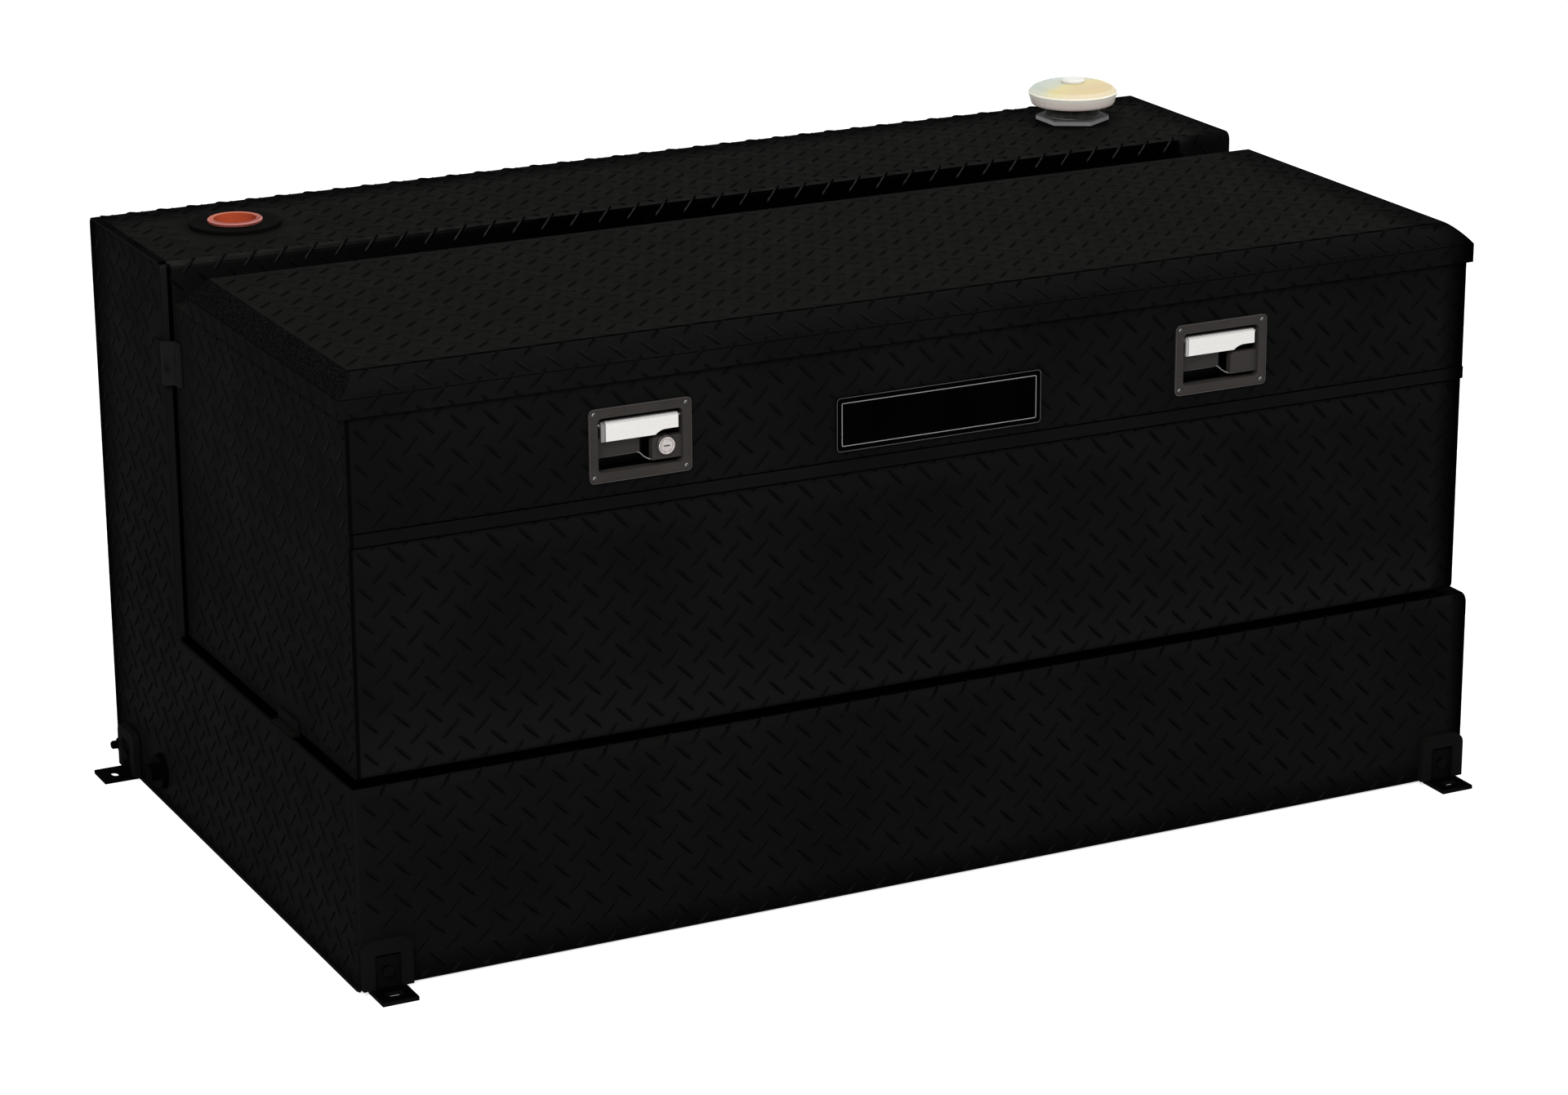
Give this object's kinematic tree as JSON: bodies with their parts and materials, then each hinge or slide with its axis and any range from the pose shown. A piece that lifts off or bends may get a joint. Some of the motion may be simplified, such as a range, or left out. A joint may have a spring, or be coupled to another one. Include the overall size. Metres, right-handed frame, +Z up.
{
  "type": "truck bed transfer tank",
  "caption": "L-shaped liquid transfer tank for a pickup bed, in black tread sheet, with a hinged-lid toolbox standing on its shelf, a screw fill cap and bolt-down feet.",
  "frame": {"origin": "middle of the tank's flat bottom, where it stands on the truck bed", "axes": "+X along the tank to its right end seen from the latch side, +Y from the latch side to the tall column at the back, +Z up"},
  "size_m": [1.293, 0.727, 0.6326],
  "materials": {
    "tread_sheet": "black powder coat on raised-bar tread sheet",
    "black_steel": "black powder coat",
    "blank_plate": "satin black",
    "bright_steel": "bright plated",
    "yellow_zinc": "yellow zinc plate",
    "bezel": "satin brown-black enamel",
    "orange_plastic": "moulded",
    "rubber": "matt"
  },
  "bodies": {
    "tank": {"baffle_left": "black_steel", "baffle_right": "black_steel", "blank_plate": "blank_plate", "bonding_stud": "bright_steel", "box_body": "tread_sheet", "box_end_left": "tread_sheet", "box_end_right": "tread_sheet", "box_tab_left": "black_steel", "box_tab_right": "black_steel", "drain_bung": "black_steel", "drain_plug": "black_steel", "fill_neck": "black_steel", "foot_bolt_front_left": "bright_steel", "foot_bolt_front_right": "bright_steel", "foot_bolt_rear_left": "bright_steel", "foot_bolt_rear_right": "bright_steel", "foot_pocket_front_left": "black_steel", "foot_pocket_front_right": "black_steel", "foot_pocket_rear_left": "black_steel", "foot_pocket_rear_right": "black_steel", "hinge_leaf_box": "black_steel", "hinge_pin": "bright_steel", "isolator_strip_left": "rubber", "isolator_strip_middle": "rubber", "isolator_strip_right": "rubber", "latch_case_left": "black_steel", "latch_case_right": "black_steel", "latch_pan_left": "bezel", "latch_pan_right": "bezel", "paddle_pin_left": "bright_steel", "paddle_pin_right": "bright_steel", "pump_bung": "black_steel", "rear_deck": "tread_sheet", "tank_end_left": "tread_sheet", "tank_end_right": "tread_sheet", "tank_wrap": "tread_sheet", "tie_down_foot_front_left": "black_steel", "tie_down_foot_front_right": "black_steel", "tie_down_foot_rear_left": "black_steel", "tie_down_foot_rear_right": "black_steel", "tie_strap_left": "black_steel", "tie_strap_right": "black_steel", "upper_front_panel": "tread_sheet", "weather_seal": "rubber"},
    "lid": {"lid_pan": "tread_sheet", "lid_rail_front": "black_steel", "lid_rail_rear": "black_steel", "hinge_leaf_lid": "black_steel", "keeper_left": "black_steel", "keeper_right": "black_steel"},
    "paddle_left": {"paddle_left": "bright_steel"},
    "paddle_right": {"paddle_right": "bright_steel"},
    "bolt_left": {"latch_bolt_left": "bright_steel"},
    "bolt_right": {"latch_bolt_right": "bright_steel"},
    "key": {"key_cylinder": "bright_steel"},
    "cap_seal": {"cap_gasket": "rubber"},
    "fill_cap": {"fill_cap": "yellow_zinc", "vent_button": "bright_steel"},
    "shipping_plug": {"shipping_plug": "orange_plastic"}
  },
  "joints": [
    {"name": "lid_hinge", "type": "hinge", "parent": "tank", "child": "lid", "pos_m": [0, 0.0713, 0.5503], "axis": [-1, 0, 0], "range_deg": [0, 85]},
    {"name": "paddle_left_pull", "type": "hinge", "parent": "tank", "child": "paddle_left", "pos_m": [-0.312, -0.33115, 0.508], "axis": [-1, 0, 0], "range_deg": [0, 35], "stiffness_Nm_per_rad": 0.3, "springref_deg": -8.59},
    {"name": "paddle_right_pull", "type": "hinge", "parent": "tank", "child": "paddle_right", "pos_m": [0.312, -0.33115, 0.508], "axis": [-1, 0, 0], "range_deg": [0, 35], "stiffness_Nm_per_rad": 0.3, "springref_deg": -8.59},
    {"name": "bolt_left_slide", "type": "slide", "parent": "tank", "child": "bolt_left", "axis": [0, -1, 0], "range_m": [0, 0.009]},
    {"name": "bolt_right_slide", "type": "slide", "parent": "tank", "child": "bolt_right", "axis": [0, -1, 0], "range_m": [0, 0.009]},
    {"name": "key_turn", "type": "hinge", "parent": "tank", "child": "key", "pos_m": [-0.2853, -0.335, 0.4807], "axis": [0, 1, 0], "range_deg": [0, 90]},
    {"name": "fill_cap_lift", "type": "slide", "parent": "tank", "child": "cap_seal", "axis": [0, 0, 1], "range_m": [0, 0.06]},
    {"name": "fill_cap_turn", "type": "hinge", "parent": "cap_seal", "child": "fill_cap", "pos_m": [0.4905, 0.263, 0.6], "axis": [0, 0, 1], "range_deg": [0, 540]},
    {"name": "shipping_plug_lift", "type": "slide", "parent": "tank", "child": "shipping_plug", "axis": [0, 0, 1], "range_m": [0, 0.05]}
  ],
  "couplings": [
    {"joint": "bolt_left_slide", "follows": "paddle_left_pull", "m_per_rad": 0.0144},
    {"joint": "bolt_right_slide", "follows": "paddle_right_pull", "m_per_rad": 0.0144}
  ]
}
